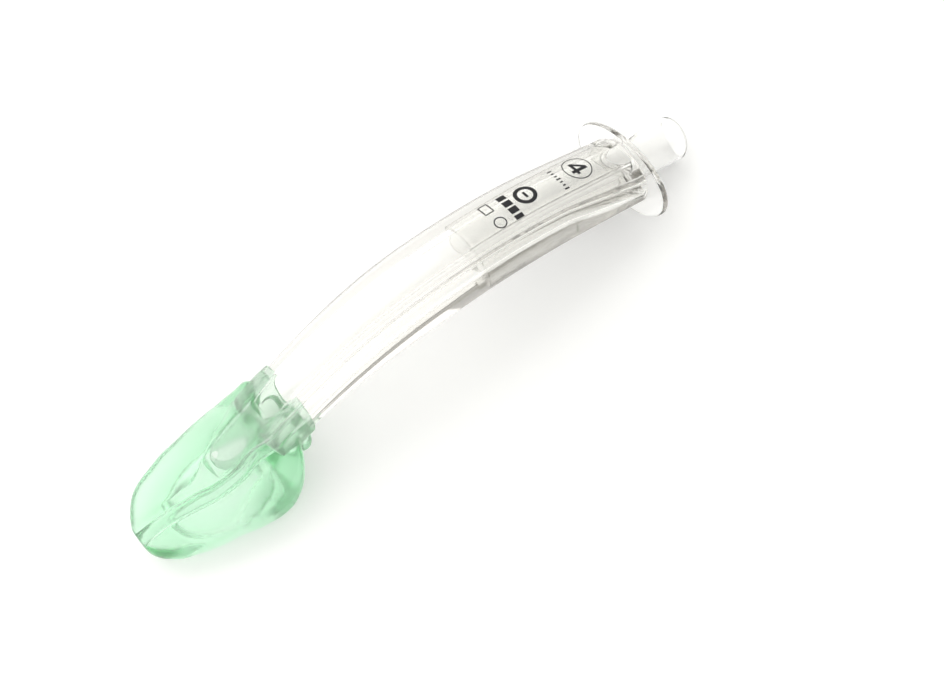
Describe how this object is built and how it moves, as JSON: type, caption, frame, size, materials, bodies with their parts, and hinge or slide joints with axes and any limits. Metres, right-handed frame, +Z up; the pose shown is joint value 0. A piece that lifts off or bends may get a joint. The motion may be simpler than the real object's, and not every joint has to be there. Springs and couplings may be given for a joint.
{
  "type": "supraglottic airway",
  "caption": "Clear curved airway tube with a 15 mm male cone, an oval flange and a mint-green gel cuff with a bowl on its underside.",
  "frame": {"origin": "on the surface that the device stands on, under the middle of its bounding box", "axes": "+X from the cuff to the connector, +Z up towards the back of the arch, the drain channel on the -Y side"},
  "size_m": [0.22, 0.0438, 0.0435],
  "materials": {
    "connector_clear": "clear rigid moulding, polished",
    "stem_clear": "clear soft elastomer, smooth",
    "cuff_gel": "soft translucent gel, satin"
  },
  "bodies": {
    "root": {"connector": "connector_clear", "stem": "stem_clear", "cuff": "cuff_gel"}
  },
  "joints": []
}
